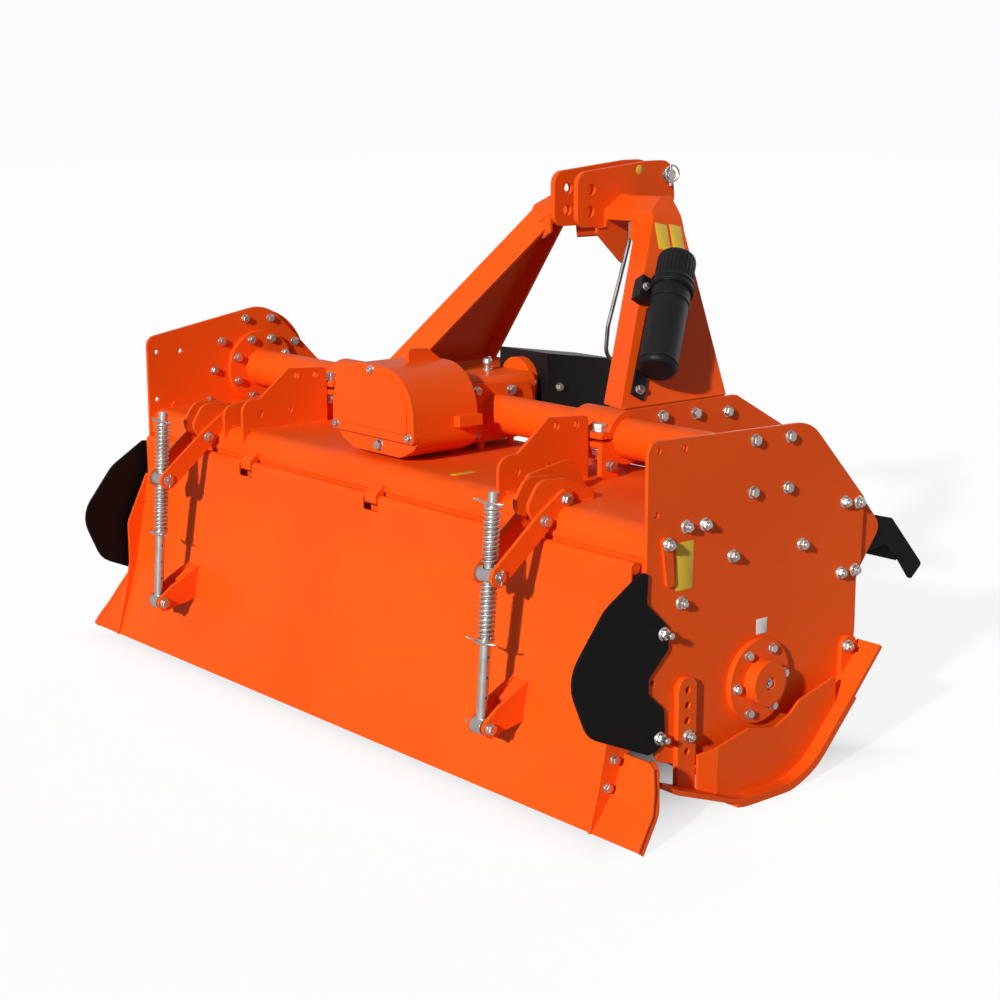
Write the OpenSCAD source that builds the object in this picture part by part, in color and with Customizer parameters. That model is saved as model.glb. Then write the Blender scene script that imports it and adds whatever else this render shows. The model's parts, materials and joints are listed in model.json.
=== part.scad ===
// Rotary tiller for a three-point hitch, in millimetres.
// +X is the right-hand side seen from behind, +Y points forward to the tractor, +Z is up.
// The origin is on the ground under the middle of the machine.

/* [Frame] */
// Width over the outer faces of the side plates
frame_w = 1800; // [1500:10:2100]
// Thickness of the side plates
plate_t = 8; // [6:0.5:12]
// Main beam axis, along Y
beam_y = -37; // [-47:1:-27]
// Main beam axis, above the ground
beam_z = 660; // [655:1:680]
// Outside diameter of the left beam tube
left_tube_d = 95; // [80:1:110]
// Outside diameter of the right beam tube
right_tube_d = 86; // [70:1:100]
// Wall of the beam tubes
tube_wall = 8; // [5:0.5:12]
// Rear face of the hood, along Y
rear_y = -367; // [-375:1:-357]
// Top of the deck, above the ground
deck_z = 580; // [570:1:590]
// Thickness of the hood's sheet
sheet_t = 5; // [3:0.5:8]
// Height of the rear box beam below the deck
box_h = 58; // [45:1:70]
// Depth of the rear box beam along Y
box_d = 65; // [50:1:90]

/* [Rotor] */
// Rotor axis, along Y
rotor_y = -60; // [-75:1:-45]
// Rotor axis, above the ground
rotor_z = 229; // [225:1:245]
// Diameter of the rotor tube
rotor_tube_d = 89; // [70:1:110]
// Radius of the blade tips
tip_r = 218; // [190:1:222]
// Flanges along the rotor
flange_n = 8; // [6:1:9]
// Diameter of the blade flanges
flange_d = 230; // [200:1:250]
// Thickness of the blade flanges
flange_t = 10; // [6:1:14]
// Thickness of a blade
blade_t = 8; // [6:0.5:10]
// Sideways reach of a blade's cutting end
blade_reach = 78; // [50:1:90]
// Radius of the rotor's end journals
journal_r = 24; // [18:1:30]

/* [Tailboard] */
// Tailboard hinge below the deck's top
hinge_drop = 75; // [70:1:85]
// Radius of the hinge rod
hinge_r = 6; // [5:0.5:8]
// Thickness of the tailboard sheet
tail_t = 4; // [3:0.5:6]
// Bottom hem of the tailboard, above the ground
tail_bottom_z = 12; // [8:1:30]
// Sideways reach of a wing past the side plate
wing_reach = 112; // [80:1:140]

/* [Spring linkage] */
// Distance of each spring rod from the middle
rod_x = 610; // [560:1:680]
// Radius of a spring rod
rod_r = 11; // [8:0.5:11]
// Length of a spring rod above its eye
rod_len = 463; // [450:1:490]
// Mean radius of the spring coils
coil_r = 14.8; // [14.2:0.1:16]
// Wire diameter of the springs
wire_d = 4.8; // [3:0.1:4.8]
// Turns of each spring
coil_turns = 11; // [7:1:12]

/* [Hitch] */
// Distance of each lower hitch point from the middle
lower_x = 412; // [400:1:430]
// Lower hitch points, above the ground
lower_z = 566; // [560:1:575]
// Radius of the lower hitch pins
lower_pin_r = 14.2; // [11:0.1:16]
// Gap between the top-link plates
top_gap = 66; // [52:1:80]
// Thickness of the top-link plates
top_t = 14; // [10:1:18]
// Radius of the top-link holes
top_hole_r = 12.8; // [9.6:0.1:16]
// Input shaft axis, above the ground
pto_z = 715; // [708:1:722]
// Outside radius of the input shaft's splines
spline_r = 17.4; // [15:0.1:22]

/* [Skids] */
// Width of a skid's sole
sole_w = 60; // [40:1:80]
// Thickness of a skid's sole
sole_t = 10; // [6:1:14]

/* [Fits] */
// Clearance of shafts, pins and rods in their bores
fit = 0.3; // [0.2:0.05:0.6]

/* [Hidden] */
$fn = 48;

orange = [0.93, 0.33, 0.05];
black = [0.07, 0.07, 0.08];
zinc = [0.74, 0.73, 0.68];
steel = [0.45, 0.45, 0.46];

half_w = frame_w / 2;
inner_x = half_w - plate_t;
beam = [beam_y, beam_z];
axle = [rotor_y, rotor_z];
hinge = [rear_y - 12, deck_z - hinge_drop];

// Shapes from corner points: a point is [along, up, corner radius]
function xy(p) = [p.x, p.y];
function unit(v) = v / norm(v);
function turn(a) = (a + 540) % 360 - 180;
function polar(r, a) = r * [cos(a), sin(a)];
function arc(c, r, a0, sweep) =
  let (n = max(2, ceil(abs(sweep) / (r > 80 ? 7.5 : 15))))
  [for (i = [0:n]) c + polar(r, a0 + sweep * i / n)];
function corner(before, p, after) =
  p.z == 0 || is_undef(p.z) ? [xy(p)] :
  let (u = unit(xy(before) - xy(p)), v = unit(xy(after) - xy(p)),
    half = acos(max(-1, min(1, u * v))) / 2, c = xy(p) + unit(u + v) * p.z / sin(half),
    s = xy(p) + u * p.z / tan(half) - c, e = xy(p) + v * p.z / tan(half) - c,
    a = atan2(s.y, s.x))
  arc(c, p.z, a, turn(atan2(e.y, e.x) - a));
function outline(p) =
  let (n = len(p)) [for (i = [0:n - 1]) each corner(p[(i + n - 1) % n], p[i], p[(i + 1) % n])];
function bend(p) =
  let (n = len(p)) [for (i = [0:n - 1]) each
    (i == 0 || i == n - 1 ? [xy(p[i])] : corner(p[i - 1], p[i], p[i + 1]))];
function left_of(d) = [-d.y, d.x];
function stepped(p, i, t) =
  let (n = len(p), d0 = unit(i > 0 ? p[i] - p[i - 1] : p[1] - p[0]),
    d1 = unit(i < n - 1 ? p[i + 1] - p[i] : p[n - 1] - p[n - 2]),
    m = left_of(d0) + left_of(d1))
  p[i] + m * 2 * t / (m * m);
function strip(p, t) = concat(p, [for (i = [len(p) - 1:-1:0]) stepped(p, i, t)]);
// Points moved up or down together
function lifted(p, dz) = [for (q = p) [q.x, q.y + dz, is_undef(q.z) ? 0 : q.z]];
// A belt round two circles
function belt(c0, r0, c1, r1) =
  let (d = c1 - c0, a = atan2(d.y, d.x), b = acos((r0 - r1) / norm(d)))
  concat(arc(c0, r0, a + b, 360 - 2 * b), arc(c1, r1, a - b, 2 * b));

module yz(x, t) translate([x, 0, 0]) rotate([90, 0, 90]) linear_extrude(t) children();
module xz(y, t) translate([0, y + t, 0]) rotate([90, 0, 0]) linear_extrude(t) children();
module plate(x, t, p) yz(x, t) polygon(outline(p));
module x_rod(c, r, x0, x1) translate([x0, c.x, c.y]) rotate([0, 90, 0]) cylinder(r = r, h = x1 - x0);
module y_rod(x, z, r, y0, y1) translate([x, y0, z]) rotate([-90, 0, 0]) cylinder(r = r, h = y1 - y0);
module both() {
  children();
  mirror([1, 0, 0]) children();
}

// A round wire along a path of points, as one swept tube; up is a direction the path never takes
function heading(p, i) = unit(p[min(i + 1, len(p) - 1)] - p[max(i - 1, 0)]);
function wire_ring(p, i, r, n, up) =
  let (t = heading(p, i), u = unit(cross(t, up)), v = cross(u, t))
  [for (k = [0:n - 1]) p[i] + r * (u * cos(360 * k / n) + v * sin(360 * k / n))];
module swept(p, r, n, up) {
  last = len(p) - 1;
  sides = [for (i = [0:last - 1]) for (k = [0:n - 1])
    let (a = i * n + k, b = i * n + (k + 1) % n) each [[a, a + n, b], [b, a + n, b + n]]];
  polyhedron([for (i = [0:last]) each wire_ring(p, i, r, n, up)],
    concat(sides, [[for (k = [0:n - 1]) k], [for (k = [n - 1:-1:0]) last * n + k]]));
}

// Side plates
front_y = 259;
plate_low = [[front_y, 555, 8], [255, 417, 16], [242, 388, 16], [243, 274, 10], [232, 150, 60], [120, 80, 40],
  [-200, 80, 40], [-330, 118, 20], [-352, 165, 20], [rear_y - 4, 240, 20]];
right_edge = concat([[rear_y - 4, beam_z + 84, 25], [83, beam_z + 73, 95]], plate_low);
left_edge = concat([[rear_y - 4, beam_z + 103, 25], [-6, beam_z + 166, 105]], plate_low);
rack_holes = [[-344, 725], [-274, 722], [-347, 604], [-350, 281]];
rack_hole_r = 6;
axle_hole_r = 52;
module side_plate(edge) color(orange) difference() {
  plate(inner_x, plate_t, edge);
  x_rod(axle, axle_hole_r, inner_x - 1, half_w + 1);
  for (h = rack_holes) x_rod(h, rack_hole_r, inner_x - 1, half_w + 1);
}
module side_plate_right() side_plate(right_edge);
module side_plate_left() mirror([1, 0, 0]) side_plate(left_edge);

// Hood: a bent sheet between the side plates, with a box beam along its rear edge
apron_y = 172;
fold_r = 40;
apron_z = 400;
hood_points = [[rear_y, deck_z - box_h], [rear_y, deck_z, fold_r], [70, deck_z, 60], [150, deck_z - 80, 60],
  [apron_y, apron_z]];
hood_path = bend(hood_points);
// Everything below the hood's outer face
hood_bulk = concat(hood_path, [[apron_y, 0], [rear_y, 0]]);
box_wall = 6;
flange_room = 3;
// Upright flanges at the ends, bolted to the side plates
end_flange_t = 6;
end_flange_edge = [[-312, deck_z - 15, 0], [-304, deck_z + 14, 10], [-180, deck_z + 10, 10], [-172, deck_z - 15, 0]];
// A closing lip that hangs behind the tailboard's knuckles
lip_in = 5;
lip_drop = 57;
module hood_section() {
  polygon(strip(hood_path, -sheet_t));
  translate([rear_y + lip_in, deck_z - box_h - lip_drop]) square([sheet_t, lip_drop + 1]);
  intersection() {
    difference() {
      translate([rear_y, deck_z - box_h]) square([box_d, box_h]);
      translate([rear_y + sheet_t, deck_z - box_h + box_wall]) square([box_d - sheet_t - box_wall, box_h]);
    }
    polygon(hood_bulk);
  }
}
module hood() color(orange) difference() {
  union() {
    yz(-inner_x, 2 * inner_x) hood_section();
    both() plate(inner_x - end_flange_t, end_flange_t, end_flange_edge);
  }
  x_rod(beam, left_flange_r + flange_room, -inner_x - 1, -inner_x + beam_flange_t + flange_room);
}

// Main beam: two tubes that meet the gearbox, each with a flange on its side plate
box_half = 70;
pad_t = 12;
tube_end_x = box_half + pad_t;
beam_flange_t = 12;
left_flange_r = 97;
right_flange = 130;
module beam_tube(d) difference() {
  union() {
    x_rod(beam, d / 2, tube_end_x, inner_x);
    children();
  }
  x_rod(beam, d / 2 - tube_wall, tube_end_x - 1, inner_x + 1);
}
module beam_tube_left() color(orange) mirror([1, 0, 0]) beam_tube(left_tube_d)
  x_rod(beam, left_flange_r, inner_x - beam_flange_t, inner_x);
module beam_tube_right() color(orange) beam_tube(right_tube_d)
  plate(inner_x - beam_flange_t, beam_flange_t, [for (a = [45:90:315])
    concat(beam + polar(right_flange / sqrt(2), a), 14)]);

// Gearbox: bevel housing with tube pads, front bearing boss and top rib
box_rear_y = -150;
box_front_y = 88;
boss_y = 112;
boss_r = 52;
box_drop = 64;
box_rise = 80;
box_low_z = beam_z - box_drop;
box_top_z = beam_z + box_rise;
gearbox_edge = [[-box_half, box_low_z, 26], [box_half, box_low_z, 26], [box_half, box_top_z, 22],
  [-box_half, box_top_z, 22]];
pad_half = 62;
pad_edge = [[beam_y - 86, beam_z - pad_half, 18], [beam_y + 76, beam_z - pad_half, 18], [beam_y + 109, beam_z + 24, 14],
  [beam_y + 98, beam_z + 62, 14], [beam_y - 88, beam_z + 72, 14]];
// A fin runs from the gearbox's top up over the housing behind it
fin_x = 20;
fin_t = 10;
fin_y = [-250, -195, -105];
module gearbox() color(orange) difference() {
  union() {
    xz(box_rear_y, box_front_y - box_rear_y) polygon(outline(gearbox_edge));
    y_rod(0, pto_z, boss_r, box_front_y, boss_y);
    both() plate(box_half, pad_t, pad_edge);
    plate(fin_x, fin_t, [[box_rear_y, box_top_z - 2, 0], [fin_y[2], box_top_z - 2, 0], [box_rear_y, cover_top_z - 4, 0]]);
  }
  y_rod(0, pto_z, spline_r + fit, box_front_y - 40, boss_y + 1);
}

// Change-gear housing behind the gearbox, and its cover
cover_y = -330;
cover_t = 12;
cover_half = 147;
cover_drop = 32;
cover_rise = 127;
belly_drop = 70;
cover_low_z = beam_z - cover_drop;
cover_top_z = beam_z + cover_rise;
belly_z = beam_z - belly_drop;
cover_round = 105;
belly_half = 86;
belly_round = 40;
housing_edge = [[-cover_half, cover_top_z, cover_round], [-cover_half, cover_low_z - 10, belly_round],
  [-belly_half, belly_z, belly_round], [belly_half, belly_z, belly_round],
  [cover_half, cover_low_z - 10, belly_round], [cover_half, cover_top_z, cover_round]];
rib = [18, 66, 24];
rib_z = cover_low_z + 28;
drain_r = 9;
drain_y = cover_y + 50;
drain_gap = 1;
module gear_housing() color(orange) {
  xz(cover_y + cover_t, box_rear_y - cover_y - cover_t) polygon(outline(housing_edge));
  both() translate([belly_half, box_rear_y - rib[1], rib_z]) cube([cover_half + rib[0] - belly_half, rib[1], rib[2]]);
  translate([0, drain_y, deck_z + drain_gap]) cylinder(r = drain_r, h = belly_z - deck_z);
  plate(fin_x, fin_t, [[fin_y[0], cover_top_z - 5, 0], [fin_y[0], cover_top_z + 32, 10], [fin_y[1], cover_top_z + 28, 12],
    [box_rear_y, cover_top_z - 5, 0]]);
}
// The cover has a raised panel, set in from its edge
panel_in = 20;
panel_t = 4;
function cover_edge(d) = [[-cover_half + d, cover_top_z - d, cover_round - d], [-cover_half + d, cover_low_z + d, 8],
  [cover_half - d, cover_low_z + d, 8], [cover_half - d, cover_top_z - d, cover_round - d]];
module gear_cover() color(orange) {
  xz(cover_y, cover_t) polygon(outline(cover_edge(0)));
  xz(cover_y - panel_t, panel_t + 1) polygon(outline(cover_edge(panel_in)));
}

// Side gear case outside the left plate, round the beam axis and the rotor axis
case_top_r = 152;
case_low_r = 118;
case_lip = 14;
case_base_t = 12;
case_d = 64;
case_boss_r = 60;
case_boss_t = 12;
module side_gear_case() color(orange) mirror([1, 0, 0]) difference() {
  union() {
    yz(half_w, case_base_t) polygon(belt(beam, case_top_r, axle, case_low_r));
    yz(half_w + case_base_t, case_d) polygon(belt(beam, case_top_r - case_lip, axle, case_low_r - case_lip));
    x_rod(axle, case_boss_r, half_w + case_base_t + case_d, half_w + case_base_t + case_d + case_boss_t);
    x_rod(beam, case_boss_r, half_w + case_base_t + case_d, half_w + case_base_t + case_d + case_boss_t);
  }
  x_rod(axle, journal_r + fit, half_w - 1, half_w + journal_len + fit);
}

// Rotor bearing outside the right plate
bearing_flange_r = 86;
bearing_flange_t = 12;
hub_r = 46;
hub_x = half_w + 40;
hub_recess_r = 13;
journal_len = 26;
module rotor_bearing() color(orange) difference() {
  union() {
    x_rod(axle, bearing_flange_r, half_w, half_w + bearing_flange_t);
    x_rod(axle, hub_r, half_w, hub_x);
  }
  x_rod(axle, journal_r + fit, half_w - 1, half_w + journal_len + fit);
  x_rod(axle, hub_recess_r, hub_x - 8, hub_x + 1);
}

// Rotor: tube, flanges and L-shaped blades, alternately bent left and right
rotor_half = inner_x - 14;
end_flange_x = rotor_half - 22;
flange_gap = 2 * end_flange_x / (flange_n - 1);
stagger = 22;
shank_in_r = 68;
bite = 2;
function shank() = concat(
  [for (i = [0:4]) polar(shank_in_r + (tip_r - 4 - shank_in_r) * i / 4, 2 * i * i)],
  [for (i = [3:-1:0]) polar(shank_in_r + (tip_r - 6 - shank_in_r) * i / 3, 44 - 3 * i)]);
function cutter() = concat(
  [for (i = [0:3]) polar(tip_r, 38 - 8 * i)],
  [for (i = [3:-1:0]) polar(tip_r - blade_t - (3 - i), 38 - 8 * i)]);
module blade(hand) mirror([hand < 0 ? 1 : 0, 0, 0]) {
  yz(flange_t / 2 - bite, blade_t + bite) polygon(shank());
  yz(flange_t / 2 + bite, blade_reach - bite) polygon(cutter());
}
module flange(i) translate([-end_flange_x + i * flange_gap, rotor_y, rotor_z]) rotate([i * stagger, 0, 0]) {
  x_rod([0, 0], flange_d / 2, -flange_t / 2, flange_t / 2);
  for (k = [0:5]) {
    hand = k % 2 == 0 ? 1 : -1;
    if (!(i == 0 && hand < 0) && !(i == flange_n - 1 && hand > 0)) rotate([k * 60, 0, 0]) blade(hand);
  }
}
module rotor() color(black) {
  x_rod(axle, rotor_tube_d / 2, -rotor_half, rotor_half);
  x_rod(axle, journal_r, -half_w - journal_len, half_w + journal_len);
  for (i = [0:flange_n - 1]) flange(i);
}

// Input shaft with six splines
shaft_front_y = 205;
spline_n = 6;
spline_len = 78;
module input_shaft() color(steel) difference() {
  y_rod(0, pto_z, spline_r, box_front_y - 40, shaft_front_y);
  for (k = [0:spline_n - 1]) translate([0, 0, pto_z]) rotate([0, (k + 0.5) * 360 / spline_n, 0])
    translate([spline_r - 2.6, shaft_front_y - spline_len, -spline_r / 4]) cube([6, spline_len + 1, spline_r / 2]);
}

// Hitch arms: folded channels that lean in to the top-link plates
top_inner_x = top_gap / 2;
top_outer_x = top_inner_x + top_t;
arm_t = 8;
arm_lean = 29.2;
arm_rise = 386;
foot_rise = 44;
foot_out = 12.7;
arm_foot_z = beam_z + foot_rise;
arm_top_z = arm_foot_z + arm_rise;
arm_len = arm_rise / cos(arm_lean);
arm_top_x = lower_x + foot_out - arm_rise * tan(arm_lean);
arm_top = [325, 413];
arm_foot = [18, 349];
// The channel runs on below its foot, and is cut level there
arm_run = 1.15;
arm_end = arm_top + (arm_foot - arm_top) * arm_run;
arm_end_z = -arm_len * arm_run;
rear_flange = 70;
front_flange = 40;
function edge_band(a, b, w) = let (n = left_of(unit(b - a)) * w) [a, b, b + n, a + n];
module on_arm() translate([arm_top_x, 0, arm_top_z]) rotate([0, -arm_lean, 0]) rotate([90, 0, 90]) children();
module arm_channel() on_arm() mirror([0, 0, 1]) {
    linear_extrude(arm_t) polygon([[arm_top[0], 0], [arm_top[1], 0], [arm_end[1], arm_end_z], [arm_end[0], arm_end_z]]);
    linear_extrude(rear_flange) polygon(edge_band([arm_top[0], 0], [arm_end[0], arm_end_z], arm_t));
    linear_extrude(front_flange) polygon(edge_band([arm_end[1], arm_end_z], [arm_top[1], 0], arm_t));
  }
cap_rise = 43;
arm_cap_z = arm_top_z + cap_rise;
cap_under = 12;
cap_edge = [[top_outer_x, arm_top_z - 60], [top_outer_x, arm_cap_z], [arm_top_x - 31, arm_cap_z],
  [arm_top_x + 1, arm_top_z + 1], [arm_top_x + 12, arm_top_z - 30], [arm_top_x - 20, arm_top_z - 34],
  [arm_top_x - 59, arm_top_z - cap_under], [top_outer_x + 8, arm_top_z - cap_under]];
cap_slope = 30;
cap_run = 53;
arm_room = 900;
module hitch_arm() {
  intersection() {
    arm_channel();
    translate([0, -arm_room / 2, arm_foot_z]) cube([arm_room, 2 * arm_room, arm_rise + 20]);
  }
  difference() {
    xz(arm_top[0] - 1, arm_top[1] - arm_top[0] + 2) polygon(cap_edge);
    translate([0, arm_top[0] + cap_run, arm_cap_z]) rotate([cap_slope, 0, 0]) translate([0, -arm_room, 0]) cube(arm_room);
  }
}
module hitch_arm_right() color(orange) hitch_arm();
module hitch_arm_left() color(orange) mirror([1, 0, 0]) hitch_arm();

// Top-link plates, two on each side of the link's gap, with free rear holes and a front pin
top_points = [[238, -30, 28], [238, 97, 30], [470, 120, 30], [548, 121, 36], [560, 20, 20], [430, -30, 20]];
top_edge = lifted(top_points, arm_top_z);
top_rear_holes = [[282, arm_top_z + 58], [279, arm_top_z + 7]];
top_pin = [533, arm_top_z + 86];
top_pin_over = 16;
module top_link_plates() color(orange) both() difference() {
  plate(top_inner_x, top_t, top_edge);
  for (h = concat(top_rear_holes, [top_pin])) x_rod(h, top_hole_r, top_inner_x - 1, top_outer_x + 1);
}
module top_link_pin() color(zinc) {
  x_rod(top_pin, top_hole_r - fit, -top_outer_x - top_pin_over, top_outer_x + top_pin_over);
  x_rod(top_pin, top_hole_r + 8, -top_outer_x - top_pin_over, -top_outer_x - fit);
}

// Lower-link brackets: two plates a side from the beam clamp to the lower hitch pin
lower_y = 515;
lower_gap = 48;
lower_t = 10;
lower = [lower_y, lower_z];
lower_edge = [[beam_y, arm_foot_z - 75, 0], [beam_y, arm_foot_z - fit, 0], [arm_foot[1] + 12, arm_foot_z - fit, 14],
  [lower_y + 46, lower_z + 30, 46], [lower_y + 40, lower_z - 44, 40], [lower_y - 60, lower_z - 40, 40], [200, arm_foot_z - 88, 60]];
module lower_side(r) difference() {
  union() {
    plate(lower_x - lower_gap / 2 - lower_t, lower_t, lower_edge);
    plate(lower_x + lower_gap / 2, lower_t, lower_edge);
  }
  x_rod(lower, lower_pin_r + fit, lower_x - 80, lower_x + 80);
  x_rod(beam, r + clamp_wall + fit, lower_x - 80, lower_x + 80);
}
module lower_link_brackets() color(orange) {
  lower_side(right_tube_d / 2);
  mirror([1, 0, 0]) lower_side(left_tube_d / 2);
}
lower_pin_out = 62;
module lower_link_pins() color(zinc) both() {
  x_rod(lower, lower_pin_r, lower_x - lower_gap / 2 - lower_t - 12, lower_x + lower_gap / 2 + lower_t + lower_pin_out);
  x_rod(lower, lower_pin_r + 7, lower_x - lower_gap / 2 - lower_t - 12, lower_x - lower_gap / 2 - lower_t - fit);
}

// Split clamps on the beam, joined to the lower-link brackets
clamp_x = [lower_x - lower_gap / 2 - lower_t, lower_x + lower_gap / 2 + lower_t + 60];
clamp_wall = 14;
ear_out = 20;
ear_t = 14;
split = 8;
// The outer end stands on the deck on a leg
leg_t = 12;
leg_in = 27;
module clamp(r) difference() {
  union() {
    plate(clamp_x[1] - leg_t, leg_t, [[beam_y - r - clamp_wall - ear_out, deck_z, 0], [beam_y - leg_in, deck_z, 0],
      [beam_y - leg_in, beam_z - ear_t, 0], [beam_y - r - clamp_wall - ear_out, beam_z - ear_t, 0]]);
    x_rod(beam, r + clamp_wall, clamp_x[0], clamp_x[1]);
    plate(clamp_x[1] - 60, 60, [[beam_y - r - clamp_wall - ear_out, beam_z - ear_t - split / 2, 8],
      [beam_y, beam_z - ear_t - split / 2, 0], [beam_y, beam_z + ear_t + split / 2, 0],
      [beam_y - r - clamp_wall - ear_out, beam_z + ear_t + split / 2, 8]]);
  }
  x_rod(beam, r + fit, clamp_x[0] - 1, clamp_x[1] + 1);
  translate([clamp_x[0] - 1, beam_y - 200, beam_z - split / 2]) cube([clamp_x[1] - clamp_x[0] + 2, 200, split]);
}
module beam_clamps() color(orange) {
  clamp(right_tube_d / 2);
  mirror([1, 0, 0]) clamp(left_tube_d / 2);
}

// Posts that carry the gearbox on the deck
post_x = box_half + pad_t / 2;
post_y = [beam_y - 44, beam_y + 44];
post_r = 8;
module support_posts() color(orange) both() for (y = post_y)
  translate([post_x, y, deck_z]) cylinder(r = post_r, h = beam_z - pad_half - deck_z);

// Shield over the input shaft
shield_half = 83;
shield_y = [boss_y, 355];
shield_top = [pto_z + 67, pto_z + 31];
shield_low = [pto_z - 65, pto_z - 87];
shield_t = 4;
shield_band = 46;
shield_leg_x = 48;
shaft_room = 12;
module pto_shield() color(black) {
  both() plate(shield_half - shield_t, shield_t, [[shield_y[0], shield_low[0], 0], [shield_y[0], shield_top[0], 0],
    [shield_y[1], shield_top[1], 0], [shield_y[1], shield_low[1], 0]]);
  yz(1 - shield_half, 2 * shield_half - 2) polygon([[shield_y[0], shield_top[0] - shield_t], [shield_y[0], shield_top[0]],
    [shield_y[1], shield_top[1]], [shield_y[1], shield_top[1] - shield_t]]);
  xz(shield_y[0], shield_t) difference() {
    translate([1 - shield_half, shield_low[0]]) square([2 * shield_half - 2, shield_top[0] - shield_low[0] - 1]);
    polygon(outline([[-2 * shield_half, shield_top[0] - shield_band, 0], [shield_leg_x, shield_top[0] - shield_band, 30],
      [shield_leg_x, 0, 0], [-2 * shield_half, 0, 0]]));
    translate([0, pto_z]) circle(r = spline_r + shaft_room);
  }
}

// Manual canister on the outer face of the right arm, with its saddles
can_r = 44;
can_cap_r = 42;
can_collar_r = 48.5;
can_head = 130;
can_foot = 55;
can_cap_len = 73;
can_collar_len = 26;
can_top = [287, -can_head];
can_turn = -36;
can_len = (arm_len - can_head - can_foot) / cos(can_turn);
can_stand = 12;
can_off = can_collar_r + can_stand;
module on_can() on_arm() translate([can_top.x, can_top.y, can_off]) rotate([0, 0, can_turn]) rotate([90, 0, 0]) children();
module manual_canister() color(black) on_can() rotate_extrude() polygon(concat([[0, 0], [can_cap_r - 4, 0], [can_cap_r, 4],
  [can_cap_r, can_cap_len], [can_collar_r, can_cap_len], [can_collar_r, can_cap_len + can_collar_len],
  [can_r, can_cap_len + can_collar_len], [can_r - 1, can_len - 14]], [for (a = [0:22.5:90])
  [can_r - 15 + 14 * cos(a), can_len - 14 + 14 * sin(a)]], [[0, can_len]]));
saddle_w = 34;
saddle_len = 30;
saddle_at = [can_cap_len + 50, can_len - 55];
rail_t = 6;
lug_len = 42;
tab = [26, 30, 58];
module canister_bracket() color(black) on_can() difference() {
  union() {
    for (s = saddle_at) translate([-saddle_w / 2, -can_off, s]) cube([saddle_w, can_stand + 12, saddle_len]);
    translate([-saddle_w / 2, -can_off, saddle_at[0]]) cube([saddle_w, rail_t, can_len + lug_len - saddle_at[0]]);
    translate([-can_collar_r - tab[0] / 2, -can_off, can_cap_len - 6]) cube(tab);
  }
  cylinder(r = can_r + fit, h = can_len + fit);
  translate([0, 0, -fit]) cylinder(r = can_collar_r + fit, h = can_cap_len + can_collar_len + 2 * fit);
}

// Hook that holds the driveline, inside the right arm
hook_r = 5;
hook_x = arm_top_x - 89;
hook_points = [[338, -cap_under - fit, 0], [336, -60, 40], [270, -255, 60], [264, -320, 30], [300, -345, 16], [312, -300, 0]];
hook_path = bend(lifted(hook_points, arm_top_z));
module driveline_hook() color(steel) swept([for (p = hook_path) [hook_x, p.x, p.y]], hook_r, 8, [1, 0, 0]);

// Skids: bent soles under the side plates, the right one with an outer cheek
wear_t = 7;
wear_y = [-180, 190];
sole_points = [[-384, 96], [-340, 72, 60], [-160, wear_t, 160], [-10, wear_t, 120], [60, 27 + wear_t, 160],
  [178, 157, 120], [261, 247]];
sole_path = bend(sole_points);
worn_path = [for (p = sole_path) if (p.x > wear_y[0] && p.x < wear_y[1]) p];
sole_top = [for (i = [0:len(sole_path) - 1]) stepped(sole_path, i, sole_t)];
// Everything below the sole's upper face
sole_bulk = concat(sole_top, [[half_w, -half_w], [-half_w, -half_w]]);
cheek_t = 6;
cheek_x = 26;
cheek_y = -199;
cheek_z = 127;
cheek_edge = [[cheek_y, cheek_z, 0], [-110, 146, 12], [-34, 131, 30], [11, 149, 20], [39, 172, 12], [149, 201, 6],
  [155, 118, 0], [95, 60, 0], [-30, 0, 0], [cheek_y, 0, 0]];
// The cheek's rear end, bent in a little
cheek_bend = 15;
cheek_end = [[1, cheek_z, 0], [-46, cheek_z - 9, 0], [-46, 0, 0], [1, 0, 0]];
front_lug = [[190, 100, 0], [240, 160, 0], [240, 270, 24], [192, 270, 24]];
lug_plate_t = 10;
module skid() {
  yz(half_w + fit, sole_w) {
    polygon(strip(sole_path, sole_t));
    polygon(strip(worn_path, -wear_t));
  }
  yz(half_w + fit, lug_plate_t) difference() {
    polygon(outline(front_lug));
    polygon(sole_bulk);
  }
}
module skids() color(orange) {
  both() skid();
  yz(half_w + cheek_x, cheek_t) difference() {
    polygon(outline(cheek_edge));
    polygon(sole_bulk);
  }
  difference() {
    translate([half_w + cheek_x + cheek_t, cheek_y, 0]) rotate([0, 0, -cheek_bend]) plate(-cheek_t, cheek_t, cheek_end);
    yz(half_w, 2 * sole_w) polygon(sole_bulk);
  }
}
strap_w = 50;
strap_t = 12;
strap_y = -266;
strap_z = [20, 279];
strap_hole_z = [129:31:253];
module skid_straps() color(orange) both() difference() {
  yz(half_w + fit, strap_t) difference() {
    polygon(outline([[strap_y - strap_w / 2, strap_z[0], 0], [strap_y + strap_w / 2, strap_z[0], 0],
      [strap_y + strap_w / 2, strap_z[1], strap_w / 2 - 1], [strap_y - strap_w / 2, strap_z[1], strap_w / 2 - 1]]));
    polygon(sole_bulk);
  }
  for (z = strap_hole_z) x_rod([strap_y, z], 7, half_w - 1, half_w + strap_t + 2);
}

// Flat deflectors on the outer faces of the side plates, each on two ears
deflector_t = 6;
deflector_edge = [[-390, 501, 8], [-372, 499, 6], [-374, 440, 10], [-318, 388, 14], [-314, 342, 14], [-366, 294, 14],
  [-366, 262, 14], [-324, 226, 14], [-320, 180, 16], [-334, 146, 16], [-364, 142, 14], [-520, 210, 60], [-572, 330, 75],
  [-480, 446, 90]];
module side_deflectors() color(black) both() plate(half_w, deflector_t, deflector_edge);

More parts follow.
